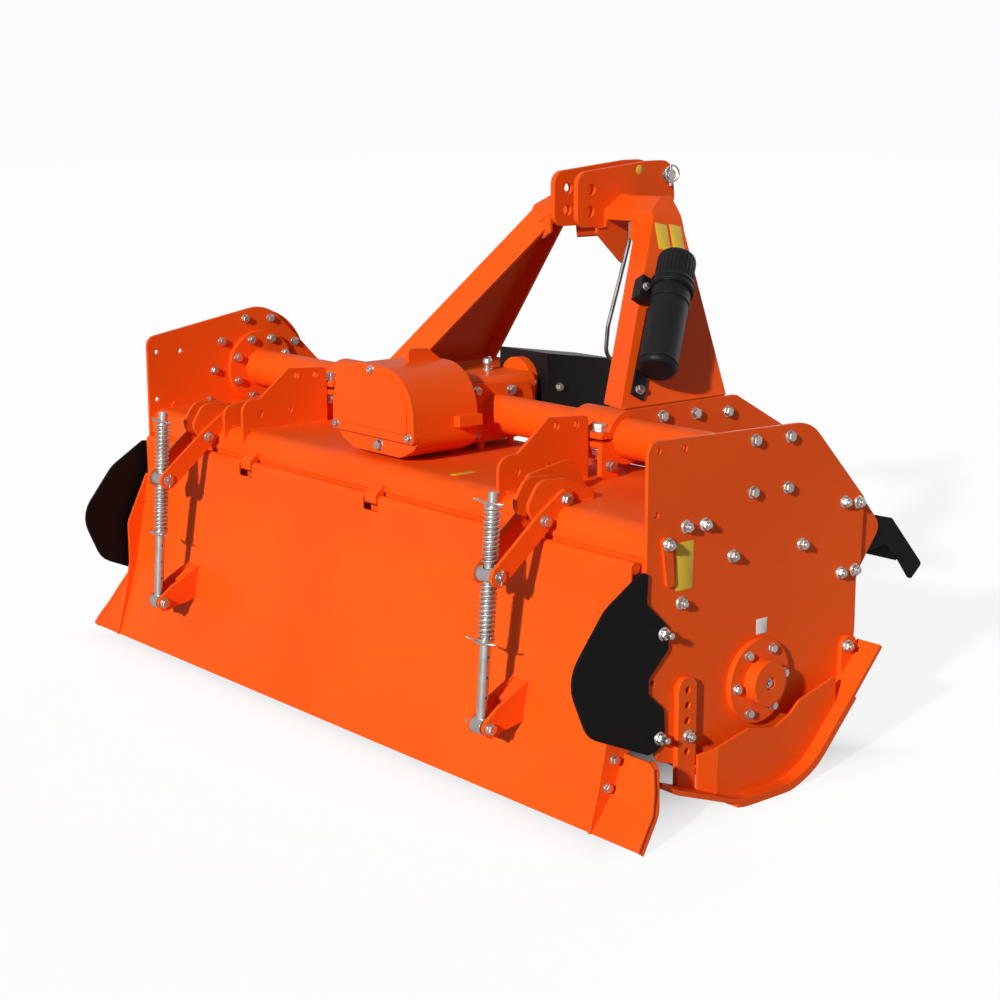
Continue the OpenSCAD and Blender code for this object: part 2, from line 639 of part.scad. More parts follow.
// Front guard: a folded sheet across the front, and the plates that carry it
guard_end_t = 6;
carrier_t = 8;
guard_t = 4;
guard_points = [[300, 502], [352, 492, 16], [404, 396]];
guard_path = bend(guard_points);
guard_edge = [[296, 512, 6], [374, 492, 12], [484, 375, 8], [446, 345, 8], [404, 396, 12], [366, 440, 30], [298, 432, 8]];
module front_guard() color(black) {
  yz(-inner_x + carrier_t + guard_end_t, 2 * (inner_x - carrier_t - guard_end_t)) polygon(strip(guard_path, -guard_t));
  both() plate(inner_x - carrier_t - guard_end_t, guard_end_t, guard_edge);
}
carrier_edge = [[180, 572, 12], [front_y - 7, 566, 12], [326, 485, 26], [258, 400, 14], [178, 392, 12]];
module guard_plates() color(orange) both() plate(inner_x - carrier_t, carrier_t, carrier_edge);

// Upright bracket plates on the deck
bracket_x = 465;
bracket_t = 8;
bracket_edge = [[rear_y, 552, 0], [rear_y, 655, 30], [-317, 653, 20], [-232, 720, 14], [-122, 712, 10],
  [-120, 552, 0]];
bracket_holes = [[-211, 700], [-155, 697], [-317, 618], [-232, 618]];
low_bracket_x = 545;
low_bracket_edge = [[rear_y, 552, 0], [rear_y, 628, 24], [-240, 650, 30], [-180, 552, 0]];
module deck_plate(x, t, edge) yz(x, t) difference() {
  polygon(outline(edge));
  polygon(hood_bulk);
}
module deck_brackets() color(orange) both() {
  difference() {
    deck_plate(bracket_x, bracket_t, bracket_edge);
    for (h = bracket_holes) x_rod(h, 8, bracket_x - 1, bracket_x + bracket_t + 1);
  }
  deck_plate(low_bracket_x, bracket_t, low_bracket_edge);
}

// Spring linkage: brackets on the deck, fork arms, trunnions, rods and springs
arm_bolt = [[-338, 591], [-393, 555]];
pivot = [-508, 462];
eye = [-529, 161.5];
rod_run = pivot - eye;
rod_lean = atan2(rod_run.x, rod_run.y);
pivot_s = norm(rod_run);
fork_half = 24;
fork_t = 8;
quad_t = 8;
bolt_r = 6;
quad_edge = [[rear_y - 36, deck_z - 46, 12], [-250, deck_z - 46, 0], [-255, deck_z + 20, 16], [-330, deck_z + 52, 40],
  [-400, deck_z + 56, 34], [-432, deck_z + 6, 24]];
module side_pair(half, t) for (s = [-1, 1]) translate([s * half - (s < 0 ? t : 0), 0, 0]) children();
module arm_brackets() color(orange) both() translate([rod_x, 0, 0]) side_pair(fork_half - quad_t, quad_t)
  difference() {
    deck_plate(0, quad_t, quad_edge);
    for (b = arm_bolt) x_rod(b, bolt_r, -1, quad_t + 1);
  }
bar_r = 21;
pin_r = 7;
module spring_arms() color(orange) both() translate([rod_x, 0, 0]) side_pair(fork_half, fork_t) yz(0, fork_t) difference() {
  union() {
    polygon(belt(arm_bolt[0], bar_r, arm_bolt[1], bar_r));
    polygon(belt(arm_bolt[1], bar_r, pivot, bar_r));
  }
  polygon(hood_bulk);
  translate(pivot) circle(r = pin_r + fit);
}
slide_gap = 1.6;
trunnion_r = 17;
module along_rod(c) translate([rod_x, c.x, c.y]) rotate([-rod_lean, 0, 0]) children();
module trunnion() color(zinc) difference() {
  union() {
    x_rod(pivot, trunnion_r, rod_x - fork_half + fit, rod_x + fork_half - fit);
    x_rod(pivot, pin_r, rod_x - fork_half - fork_t - 10, rod_x + fork_half + fork_t + 10);
  }
  along_rod(pivot) translate([0, 0, -60]) cylinder(r = rod_r + slide_gap, h = 120);
}
module trunnion_right() trunnion();
module trunnion_left() mirror([1, 0, 0]) trunnion();
eye_r = 17;
eye_half = 15;
clip_low_s = 172;
clip_high_s = 430;
collar_t = 3;
rod_hole_r = 3;
rod_hole_s = [57.5, 98, 139];
module spring_rod() color(zinc) along_rod(eye) difference() {
  union() {
    cylinder(r = rod_r, h = rod_len);
    rotate([0, 90, 0]) cylinder(r = eye_r, h = 2 * eye_half, center = true);
    for (s = [clip_low_s, clip_high_s]) translate([0, 0, s]) cylinder(r = coil_r + wire_d / 2, h = collar_t);
  }
  rotate([0, 90, 0]) cylinder(r = pin_r + fit, h = 4 * eye_half, center = true);
  for (s = rod_hole_s) translate([0, 0, s]) rotate([0, 90, 0]) cylinder(r = rod_hole_r, h = 4 * eye_half, center = true);
}
module spring_rod_right() spring_rod();
module spring_rod_left() mirror([1, 0, 0]) spring_rod();

// A helical spring as one swept wire
wire_sides = 6;
turn_steps = 14;
module coil(len, turns) {
  n = turns * turn_steps;
  swept([for (i = [0:n]) concat(polar(coil_r, 360 * i / turn_steps), wire_d / 2 + (len - wire_d) * i / n)],
    wire_d / 2, wire_sides, [0, 0, 1]);
}
spring_gap = 0.4;
module upper_spring() color(zinc) along_rod(pivot) translate([0, 0, trunnion_r + spring_gap])
  coil(clip_high_s - pivot_s - trunnion_r - 2 * spring_gap, coil_turns);
module lower_spring() color(zinc) along_rod(eye) translate([0, 0, clip_low_s + collar_t + spring_gap])
  coil(pivot_s - trunnion_r - clip_low_s - collar_t - 2 * spring_gap, coil_turns);
module upper_spring_right() upper_spring();
module upper_spring_left() mirror([1, 0, 0]) upper_spring();
module lower_spring_right() lower_spring();
module lower_spring_left() mirror([1, 0, 0]) lower_spring();

// Tailboard: a bowed sheet with knuckles on the hinge rod, wings past the skids, and rod lugs
tail_room = 12;
tail_half = inner_x - tail_room;
knuckle_r = hinge_r + 6;
tail_points = [[hinge.x - knuckle_r, hinge.y], [-390, 420, 200], [-413, 300, 400], [-432, 200, 300], [-460, 100, 200],
  [-491, tail_bottom_z]];
tail_path = bend(tail_points);
// Everything in front of the tailboard's rear face
tail_bulk = concat(tail_path, [[0, 0], [0, hinge.y]]);
tab_x = [-422, 71, 564];
tab_w = 40;
window_w = tab_w + 14;
window_drop = 24;
module tailboard() color(orange) difference() {
  union() {
    yz(-tail_half, 2 * tail_half) polygon(strip(tail_path, tail_t));
    x_rod(hinge, knuckle_r, -tail_half, tail_half);
  }
  x_rod(hinge, hinge_r + fit, -tail_half - 1, tail_half + 1);
  for (x = tab_x) translate([x - window_w / 2, hinge.x - 2 * knuckle_r, hinge.y - window_drop])
    cube([window_w, 4 * knuckle_r, window_drop + 2 * knuckle_r]);
}
tab_edge = [[rear_y, deck_z - box_h, 0], [hinge.x + knuckle_r, hinge.y - 10, 6], [hinge.x - knuckle_r, hinge.y - 10, 8],
  [hinge.x - knuckle_r, hinge.y + 14, 6], [rear_y, deck_z - 42, 0]];
module hinge_rod() color(steel) {
  x_rod(hinge, hinge_r, -tail_half, tail_half);
  for (x = tab_x) plate(x - tab_w / 2, tab_w, tab_edge);
}
// Gussets over the ends, which carry the wings
gusset_t = 6;
gusset_edge = [[-394, 419, 0], [-452, 299, 30], [-452, 195, 30], [-470, 110, 40], [-496, tail_bottom_z, 0],
  [-472, tail_bottom_z, 0], [-424, 77, 0], [-394, 152, 8], [-412, 230, 30], [-396, 330, 0], [-380, 419, 0]];
wing_end = half_w + wing_reach;
wing_x = tail_half + gusset_t - 2;
wing_top_z = 150;
wing_path = bend([[-400, 166], [-440, 77, 120], [-491, tail_bottom_z]]);
wing_face = [[wing_x, 0, 0], [wing_end, 0, 0], [wing_end - 12, 69, 60], [wing_end - 50, wing_top_z, 34],
  [wing_x, wing_top_z, 0]];
wing_lip = 16;
function between(p, a, b) = concat([for (i = [0:len(p) - 1]) stepped(p, i, a)],
  [for (i = [len(p) - 1:-1:0]) stepped(p, i, b)]);
module wing_sheet(a, b) intersection() {
  yz(wing_x, wing_end) polygon(between(wing_path, a, b));
  xz(-half_w, half_w) children();
}
module wing() {
  wing_sheet(0, tail_t) polygon(outline(wing_face));
  wing_sheet(tail_t / 2, wing_lip) difference() {
    translate([-0.5, -0.5]) polygon(outline(wing_face));
    translate([-0.5 - tail_t, 0]) polygon(outline(wing_face));
  }
}
module tailboard_wings() color(orange) both() {
  plate(tail_half, gusset_t, gusset_edge);
  wing();
}
lug_half = 18;
lug_t = 8;
lug_edge = [[-400, 254, 0], [-505, 200, 20], [-552, 165, 16], [-530, 138, 16], [-500, 148, 20], [-400, 165, 0]];
lug_web = [[-400, 246], [-478, 206], [-473, 197], [-400, 234]];
module rod_lugs() color(orange) both() {
  translate([rod_x, 0, 0]) side_pair(lug_half, lug_t) yz(0, lug_t) difference() {
    polygon(outline(lug_edge));
    polygon(tail_bulk);
  }
  x_rod(eye, pin_r, rod_x - lug_half - lug_t - 4, rod_x + lug_half + lug_t + 4);
  yz(rod_x - lug_half - 2, 2 * lug_half + 4) difference() {
    polygon(lug_web);
    polygon(tail_bulk);
  }
}

// Small latches on the outer faces of the side plates
latch_t = 6;
latch_edge = [[-337, 560, 10], [-310, 560, 10], [-300, 462, 8], [-322, 462, 8]];
module stop_latches() color(orange) both() plate(half_w, latch_t, latch_edge);

side_plate_right();
side_plate_left();
hood();
beam_tube_left();
beam_tube_right();
gearbox();
gear_housing();
gear_cover();
side_gear_case();
rotor_bearing();
hitch_arm_right();
hitch_arm_left();
top_link_plates();
top_link_pin();
lower_link_brackets();
lower_link_pins();
beam_clamps();
support_posts();
pto_shield();
manual_canister();
canister_bracket();
driveline_hook();
skids();
skid_straps();
side_deflectors();
front_guard();
guard_plates();
deck_brackets();
arm_brackets();
spring_arms();
hinge_rod();
stop_latches();
rotor();
input_shaft();
tailboard();
tailboard_wings();
rod_lugs();
spring_rod_right();
spring_rod_left();
trunnion_right();
trunnion_left();
upper_spring_right();
upper_spring_left();
lower_spring_right();
lower_spring_left();
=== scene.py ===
import bmesh
import bpy
import json
from math import atan2, cos, pi, radians, sin, sqrt
from mathutils import Matrix, Vector


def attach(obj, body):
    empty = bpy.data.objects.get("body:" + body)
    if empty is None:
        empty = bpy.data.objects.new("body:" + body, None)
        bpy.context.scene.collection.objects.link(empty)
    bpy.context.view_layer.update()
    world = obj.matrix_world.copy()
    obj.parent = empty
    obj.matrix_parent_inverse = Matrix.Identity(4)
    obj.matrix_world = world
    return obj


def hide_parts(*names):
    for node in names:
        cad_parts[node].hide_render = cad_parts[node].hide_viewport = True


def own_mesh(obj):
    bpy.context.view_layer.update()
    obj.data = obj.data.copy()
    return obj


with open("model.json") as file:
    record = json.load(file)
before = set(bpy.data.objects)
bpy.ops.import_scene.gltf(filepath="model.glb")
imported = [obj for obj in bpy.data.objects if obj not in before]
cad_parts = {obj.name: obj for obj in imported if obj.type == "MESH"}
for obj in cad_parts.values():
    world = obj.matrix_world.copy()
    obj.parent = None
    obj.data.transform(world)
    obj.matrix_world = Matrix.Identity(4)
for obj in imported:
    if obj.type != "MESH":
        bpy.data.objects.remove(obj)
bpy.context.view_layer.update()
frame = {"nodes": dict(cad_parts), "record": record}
scene = bpy.context.scene
scene.view_settings.view_transform = "Standard"
nodes = frame["nodes"]
print("frame loaded,", len(nodes), "nodes")


class Wire:  # one socket of a shader tree; sums of wires add Math nodes
    def __init__(self, tree, socket=None):
        self.tree, self.socket = tree, socket

    def make(self, kind, settings=None, links=None, out=0):
        node = self.tree.nodes.new("ShaderNode" + kind)
        for name, value in (settings or {}).items():
            setattr(node, name, value)
        for name, value in (links or {}).items():
            if isinstance(value, Wire):
                self.tree.links.new(value.socket, node.inputs[name])
            else:
                node.inputs[name].default_value = value
        return Wire(self.tree, node.outputs[out])

    def math(self, operation, a, b=0.0):
        return self.make("Math", {"operation": operation}, {0: a, 1: b})

    def __add__(self, other):
        return self.math("ADD", self, other)

    def __radd__(self, other):
        return self.math("ADD", other, self)

    def __sub__(self, other):
        return self.math("SUBTRACT", self, other)

    def __rsub__(self, other):
        return self.math("SUBTRACT", other, self)

    def __mul__(self, other):
        return self.math("MULTIPLY", self, other)

    def __rmul__(self, other):
        return self.math("MULTIPLY", other, self)

    def within(self, low, high):  # 0 below low, 1 above high
        return self.make("MapRange", {"interpolation_type": "SMOOTHSTEP"},
                         {"Value": self, "From Min": low, "From Max": high})

    def tint(self, a, b):  # colour a where this is 0, b where it is 1
        return self.make("Mix", {"data_type": "RGBA"}, {0: self, 6: a, 7: b}, 2)

    def feed(self, node, name):
        self.tree.links.new(self.socket, node.inputs[name])


def rgb(r, g, b):
    return (r, g, b, 1.0)


def startFinish(name, constants):
    material = bpy.data.materials.new(name)
    material.use_nodes = True
    shader = material.node_tree.nodes["Principled BSDF"]
    for socket, value in constants.items():
        shader.inputs[socket].default_value = value
    return material, shader, Wire(material.node_tree)


def noise(wire, spot, scale, detail=3.0, rough=0.5):
    return wire.make("TexNoise", {}, {"Vector": spot, "Scale": scale, "Detail": detail,
                                      "Roughness": rough}, "Fac")


def edgeMask(wire, radius):  # 1 along outer edges, and the rounded normal that shows them
    rounded = wire.make("Bevel", {"samples": 6}, {"Radius": radius}, "Normal")
    flat = wire.make("NewGeometry", {}, {}, "Normal")
    facing = wire.make("VectorMath", {"operation": "DOT_PRODUCT"}, {0: rounded, 1: flat}, "Value")
    return (1.0 - facing).within(0.02, 0.25), rounded


def bumpUp(wire, strength, depth, height, rounded):
    return wire.make("Bump", {}, {"Strength": strength, "Distance": depth, "Height": height, "Normal": rounded})


paintGrain = {"cloud": 2.4, "blotch": 17.0, "speck": 160.0, "bump": 0.35, "depth": 0.0004}


def paintFinish(name, look):
    material, shader, wire = startFinish(name, {
        "Specular IOR Level": look["shine"], "Coat Roughness": 0.18, "IOR": 1.5})
    spot = wire.make("TexCoord", {}, {}, "Object")
    upward = wire.make("SeparateXYZ", {}, {0: wire.make("TexCoord", {}, {}, "Normal")}, "Z")
    cloud = noise(wire, spot, paintGrain["cloud"], 4.0)
    blotch = noise(wire, spot, paintGrain["blotch"], 5.0, 0.6)
    speck = noise(wire, spot, paintGrain["speck"], 4.0, 0.7)
    peel = noise(wire, spot, look["peel"], 2.0)
    edge, rounded = edgeMask(wire, look["edge"])
    dust = upward.within(0.55, 1.0) * blotch.within(0.42, 0.7) * look["dustShare"]
    chip = edge * speck.within(0.62, 0.66) * look["chipShare"]
    colour = cloud.within(0.3, 0.7).tint(look["deep"], look["base"])
    # wear and painted highlight: outer edges are mixed towards a lighter colour, partly rubbed paint and partly a
    # painted highlight
    colour = (edge * look["edgeShare"]).tint(colour, look["wornAndHighlight"])
    colour = dust.tint(colour, look["dust"])
    chip.tint(colour, look["primer"]).feed(shader, "Base Color")
    (look["rough"] + blotch * 0.12 + speck * 0.06 + dust * 0.35 + chip * 0.2).feed(shader, "Roughness")
    (look["coat"] * (1.0 - dust) * (1.0 - chip)).feed(shader, "Coat Weight")
    height = peel + blotch * 0.6 - chip * 0.8
    bumpUp(wire, paintGrain["bump"], paintGrain["depth"], height, rounded).feed(shader, "Normal")
    return material


metalGrain = {"cloud": 26.0, "grit": 420.0, "edge": 0.0008, "bump": 0.25, "depth": 0.0002}


def metalFinish(name, look):
    material, shader, wire = startFinish(name, {"Metallic": 1.0})
    spot = wire.make("TexCoord", {}, {}, "Object")
    cloud = noise(wire, spot, metalGrain["cloud"], 4.0)
    grit = noise(wire, spot, metalGrain["grit"], 4.0, 0.65)
    stretch = wire.make("Mapping", {}, {"Vector": spot, "Scale": look["brush"]})
    brush = noise(wire, stretch, 1.0, 3.0)
    edge, rounded = edgeMask(wire, metalGrain["edge"])
    colour = cloud.within(0.35, 0.68).tint(look["base"], look["shade"])
    colour = (edge * 0.5).tint(colour, look["bright"])
    (grit.within(0.6, 0.75) * 0.5).tint(colour, look["dull"]).feed(shader, "Base Color")
    (look["rough"] + brush * 0.16 + cloud * 0.1 - edge * 0.08).feed(shader, "Roughness")
    bumpUp(wire, metalGrain["bump"], metalGrain["depth"], brush + grit * 0.5, rounded).feed(shader, "Normal")
    return material


plasticGrain = {"cloud": 9.0, "scuff": 70.0, "edge": 0.002, "bump": 0.3, "depth": 0.0003}


def plasticFinish(name, look):
    material, shader, wire = startFinish(name, {"Specular IOR Level": look["shine"]})
    spot = wire.make("TexCoord", {}, {}, "Object")
    cloud = noise(wire, spot, plasticGrain["cloud"], 4.0)
    grain = wire.make("TexVoronoi", {"feature": "F1"}, {"Vector": spot, "Scale": look["grain"]}, "Distance")
    scuff = noise(wire, spot, plasticGrain["scuff"], 5.0, 0.7).within(0.58, 0.75)
    edge, rounded = edgeMask(wire, plasticGrain["edge"])
    colour = cloud.within(0.3, 0.7).tint(look["deep"], look["base"])
    # scuffs are wear; the lighter edges are partly wear and partly a painted highlight
    (scuff * 0.25 + edge * 0.45).tint(colour, look["wornAndHighlight"]).feed(shader, "Base Color")
    (look["rough"] + cloud * 0.12 - edge * 0.1).feed(shader, "Roughness")
    bumpUp(wire, plasticGrain["bump"], plasticGrain["depth"], grain + scuff * 0.4, rounded).feed(shader, "Normal")
    return material


# each look's lighter edge colour stands partly for wear and partly for a painted highlight
orangeLook = {"base": rgb(0.94, 0.103, 0.006), "deep": rgb(0.87, 0.086, 0.004), "wornAndHighlight": rgb(0.96, 0.15, 0.014),
              "primer": rgb(0.33, 0.25, 0.2), "dust": rgb(0.7, 0.22, 0.08),
              "shine": 0.12, "coat": 0.04, "rough": 0.34, "peel": 420.0, "edge": 0.0024,
              "edgeShare": 0.6, "dustShare": 0.1, "chipShare": 0.4}
blackLook = {"base": rgb(0.005, 0.005, 0.005), "deep": rgb(0.003, 0.003, 0.003), "wornAndHighlight": rgb(0.03, 0.029, 0.028),
             "primer": rgb(0.12, 0.11, 0.1), "dust": rgb(0.03, 0.026, 0.022),
             "shine": 0.1, "coat": 0.02, "rough": 0.42, "peel": 520.0, "edge": 0.002,
             "edgeShare": 0.4, "dustShare": 0.15, "chipShare": 0.4}
zincLook = {"base": rgb(0.62, 0.61, 0.59), "shade": rgb(0.48, 0.465, 0.43), "bright": rgb(0.8, 0.79, 0.77),
            "dull": rgb(0.25, 0.24, 0.22), "rough": 0.26, "brush": (300.0, 300.0, 60.0)}
steelLook = {"base": rgb(0.2, 0.2, 0.21), "shade": rgb(0.13, 0.128, 0.125), "bright": rgb(0.34, 0.34, 0.34),
             "dull": rgb(0.13, 0.11, 0.09), "rough": 0.32, "brush": (60.0, 600.0, 600.0)}
mouldedLook = {"base": rgb(0.009, 0.009, 0.01), "deep": rgb(0.006, 0.006, 0.007), "wornAndHighlight": rgb(0.03, 0.03, 0.03),
               "shine": 0.2, "rough": 0.4, "grain": 900.0}
yellowLook = {"base": rgb(0.78, 0.5, 0.03), "deep": rgb(0.7, 0.43, 0.025), "wornAndHighlight": rgb(0.85, 0.62, 0.2),
              "shine": 0.4, "rough": 0.35, "grain": 700.0}
paleLook = {"base": rgb(0.8, 0.8, 0.77), "deep": rgb(0.7, 0.7, 0.67), "wornAndHighlight": rgb(0.55, 0.53, 0.5),
            "shine": 0.4, "rough": 0.35, "grain": 700.0}
orangePaint = paintFinish("orangePaint", orangeLook)
blackPaint = paintFinish("blackPaint", blackLook)
zincPlate = metalFinish("zincPlate", zincLook)
bareSteel = metalFinish("bareSteel", steelLook)
blackPlastic = plasticFinish("blackPlastic", mouldedLook)
yellowFilm = plasticFinish("yellowFilm", yellowLook)
paleFilm = plasticFinish("paleFilm", paleLook)
finishes = {"orange_paint": orangePaint, "black_paint": blackPaint, "black_plastic": blackPlastic,
            "zinc": zincPlate, "steel": bareSteel}

cadShading = {"join": 0.00002, "crease": 27.0, "flatten": 100}
for sub in frame["record"]["subparts"]:
    part = nodes[sub["node"]]
    part.data.materials.clear()
    part.data.materials.append(finishes[sub["material_slot"]])
    if "custom_normal" in part.data.attributes:
        part.data.attributes.remove(part.data.attributes["custom_normal"])
    for face in part.data.polygons:
        face.use_smooth = True
    part.modifiers.new("join", "WELD").merge_threshold = cadShading["join"]
    part.modifiers.new("crease", "EDGE_SPLIT").split_angle = radians(cadShading["crease"])
    part.modifiers.new("flatten", "WEIGHTED_NORMAL").weight = cadShading["flatten"]
print("finishes on the CAD nodes")


def mm(x, y, z):
    return Vector((x, y, z)) / 1000.0


def place(at, axis, spin=0.0):  # a frame at a point with its Z along an axis
    turn = Vector(axis).to_track_quat("Z", "Y").to_matrix().to_4x4()
    return Matrix.Translation(at) @ turn @ Matrix.Rotation(spin, 4, "Z")


def skinRings(bm, outlines):  # a closed body through like outlines, capped at both ends
    rings = [[bm.verts.new(spot) for spot in outline] for outline in outlines]
    count = len(rings[0])
    for low, high in zip(rings, rings[1:]):
        for k in range(count):
            bm.faces.new((low[k], low[(k + 1) % count], high[(k + 1) % count], high[k]))
    bm.faces.new(rings[0][::-1])
    bm.faces.new(rings[-1])


def ringStack(bm, frameAt, profile, sides):  # a turned shape: (radius, height) in mm from end to end
    turns = [2 * pi * k / sides for k in range(sides)]
    skinRings(bm, [[frameAt @ mm(radius * cos(a), radius * sin(a), height) for a in turns]
                   for radius, height in profile])


def tubeAlong(bm, points, radii, sides=8):  # a round bar through points, radius in mm at each
    points = [Vector(p) for p in points]
    last = len(points) - 1
    if not hasattr(radii, "__len__"):
        radii = [radii] * len(points)
    ahead = [(points[min(i + 1, last)] - points[max(i - 1, 0)]).normalized() for i in range(len(points))]
    turns = [2 * pi * k / sides for k in range(sides)]
    side = ahead[0].orthogonal().normalized()
    outlines = []
    for i, point in enumerate(points):
        if i:
            side = (ahead[i - 1].rotation_difference(ahead[i]) @ side).normalized()
        other = ahead[i].cross(side)
        outlines.append([point + (side * cos(a) + other * sin(a)) * radii[i] / 1000 for a in turns])
    skinRings(bm, outlines)


def finishPiece(name, bm, material, body, smooth=38.0):
    bmesh.ops.recalc_face_normals(bm, faces=bm.faces)
    mesh = bpy.data.meshes.new(name)
    bm.to_mesh(mesh)
    bm.free()
    for face in mesh.polygons:
        face.use_smooth = True
    mesh.set_sharp_from_angle(angle=radians(smooth))
    mesh.materials.append(material)
    piece = bpy.data.objects.new(name, mesh)
    scene.collection.objects.link(piece)
    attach(piece, body)
    return piece


def flangeNut(bm, at, axis, size=24.0, stud=10.0, spin=0.3):  # across flats, and how far the bolt stands out
    spot, corner = place(at, axis, spin), size / sqrt(3)
    ringStack(bm, spot, [(size * 0.68, -0.5), (size * 0.68, 1.6), (size * 0.57, 4.2)], 24)
    ringStack(bm, spot, [(corner, 2.0), (corner, size * 0.5), (corner * 0.88, size * 0.58)], 6)
    top = size * 0.58 + stud
    ringStack(bm, spot, [(size * 0.33, 2.0), (size * 0.33, top - 2.0), (size * 0.24, top)], 14)


def boltHead(bm, at, axis, size=19.0, spin=0.2):
    spot, corner = place(at, axis, spin), size / sqrt(3)
    ringStack(bm, spot, [(size * 0.66, -0.5), (size * 0.66, 2.2), (size * 0.63, 2.6)], 22)
    ringStack(bm, spot, [(corner, 2.0), (corner, size * 0.5), (corner * 0.97, size * 0.56),
                         (corner * 0.84, size * 0.62)], 6)


def capScrew(bm, at, axis, size=13.0):  # round head with a recess
    spot = place(at, axis, 0.1)
    ringStack(bm, spot, [(size * 0.62, -0.5), (size * 0.62, 1.6)], 20)
    ringStack(bm, spot, [(size * 0.5, 1.2), (size * 0.5, size * 0.5), (size * 0.44, size * 0.58),
                         (size * 0.26, size * 0.58), (size * 0.26, size * 0.22)], 18)


def weldBead(bm, start, end, size=3.2):  # a rippled fillet between two points in mm
    start, end = mm(*start), mm(*end)
    count = max(6, int((end - start).length * 1000 / 3.5))
    points = [start.lerp(end, i / count) for i in range(count + 1)]
    radii = [size * (0.72 if i in (0, count) else 1.0 + 0.14 * (-1) ** i) for i in range(count + 1)]
    tubeAlong(bm, points, radii, 8)


def blankPatch(bm, frameAt, width, height, corner, thick=0.5):  # a thin film with round corners
    outline = []
    for cx, cy, start in ((1, 1, 0), (-1, 1, 90), (-1, -1, 180), (1, -1, 270)):
        for step in range(5):
            a = radians(start + step * 22.5)
            outline.append((cx * (width / 2 - corner) + corner * cos(a),
                            cy * (height / 2 - corner) + corner * sin(a)))
    skinRings(bm, [[frameAt @ mm(u, v, -0.2) for u, v in outline],
                   [frameAt @ mm(u, v, thick * 0.7) for u, v in outline],
                   [frameAt @ mm(u * (1 - 1.0 / width), v * (1 - 1.0 / height), thick) for u, v in outline]])


# bolts on the side plates
plateBolts = {"outerX": 900.0, "size": 20.0, "headSize": 19.0, "stud": 6.0, "longStud": 14.0,
              "nuts": [(900, -269, 572), (900, -218, 569), (900, -139, 494), (900, 65, 486), (900, -279, 425),
                       (900, 195, 554), (900, 239, 548), (900, 188, 407), (900, 233, 406), (906, -330, 375),
                       (906, -336, 170), (912.3, -264, 160), (910.3, 207, 249), (906, -322, 546)],
              "underCase": [(900, -139, 494), (900, 65, 486)],  # the left gear case covers these
              "longStuds": [(906, -330, 375), (906, -336, 170)],
              "flangeHeads": [(-83, 715), (18, 711), (-86, 613), (15, 609)]}
bm = bmesh.new()
for side in (1, -1):
    for spot in plateBolts["nuts"]:
        if side < 0 and spot in plateBolts["underCase"]:
            continue
        x, y, z = spot
        stud = plateBolts["longStud"] if spot in plateBolts["longStuds"] else plateBolts["stud"]
        flangeNut(bm, mm(side * x, y, z), (side, 0, 0), plateBolts["size"], stud, 0.3 + y * 0.01)
for y, z in plateBolts["flangeHeads"]:
    boltHead(bm, mm(plateBolts["outerX"], y, z), (1, 0, 0), plateBolts["headSize"], y * 0.02)
finishPiece("plateNuts", bm, zincPlate, "frame")

bearing = {"at": (-60, 229), "circle": 69.0, "face": 912.0, "count": 6, "turn": 3, "size": 16.0,
           "nippleX": 932.0, "nipple": [(11.0, -0.5), (11.0, 3.0), (6.0, 3.4), (6.0, 7.5), (4.0, 9.0)]}
bm = bmesh.new()
for k in range(bearing["count"]):
    a = radians(60 * k + bearing["turn"])
    y = bearing["at"][0] + bearing["circle"] * cos(a)
    z = bearing["at"][1] + bearing["circle"] * sin(a)
    boltHead(bm, mm(bearing["face"], y, z), (1, 0, 0), bearing["size"], k * 0.4)
ringStack(bm, place(mm(bearing["nippleX"], *bearing["at"]), (1, 0, 0)), bearing["nipple"], 18)
finishPiece("bearingBolts", bm, zincPlate, "frame")

# screws round the left gear case, whose outline is a belt round the beam and the rotor axle
caseScrews = {"beam": (-37, 660), "axle": (-60, 229), "topR": 145.0, "lowR": 111.0, "face": 912.0, "boss": 988.0,
              "size": 15.0, "topArc": (0.55, 1.45, 7), "lowArc": (-0.42, 0.42, 6), "straight": (0.3, 0.5, 0.7),
              "bossCircle": 46.0, "bossBolts": 6, "bossSize": 13.0}
caseBeam, caseAxle = caseScrews["beam"], caseScrews["axle"]
beltTurn = atan2(caseAxle[1] - caseBeam[1], caseAxle[0] - caseBeam[0])
bm = bmesh.new()
for centre, radius, arc in ((caseBeam, caseScrews["topR"], caseScrews["topArc"]),
                            (caseAxle, caseScrews["lowR"], caseScrews["lowArc"])):
    start, end, count = beltTurn + pi * arc[0], beltTurn + pi * arc[1], arc[2]
    for k in range(count):
        a = start + (end - start) * k / (count - 1)
        y, z = centre[0] + radius * cos(a), centre[1] + radius * sin(a)
        capScrew(bm, mm(-caseScrews["face"], y, z), (-1, 0, 0), caseScrews["size"])
for share in caseScrews["straight"]:
    reach = caseScrews["topR"] - (caseScrews["topR"] - caseScrews["lowR"]) * share
    for sideways in (-1, 1):
        y = caseBeam[0] * (1 - share) + caseAxle[0] * share + sideways * reach
        z = caseBeam[1] * (1 - share) + caseAxle[1] * share
        capScrew(bm, mm(-caseScrews["face"], y, z), (-1, 0, 0), caseScrews["size"])
for centre in (caseBeam, caseAxle):
    for k in range(caseScrews["bossBolts"]):
        a = radians(60 * k)
        y, z = centre[0] + caseScrews["bossCircle"] * cos(a), centre[1] + caseScrews["bossCircle"] * sin(a)
        boltHead(bm, mm(-caseScrews["boss"], y, z), (-1, 0, 0), caseScrews["bossSize"], k)
finishPiece("caseScrews", bm, zincPlate, "frame")
print("side bolts placed")

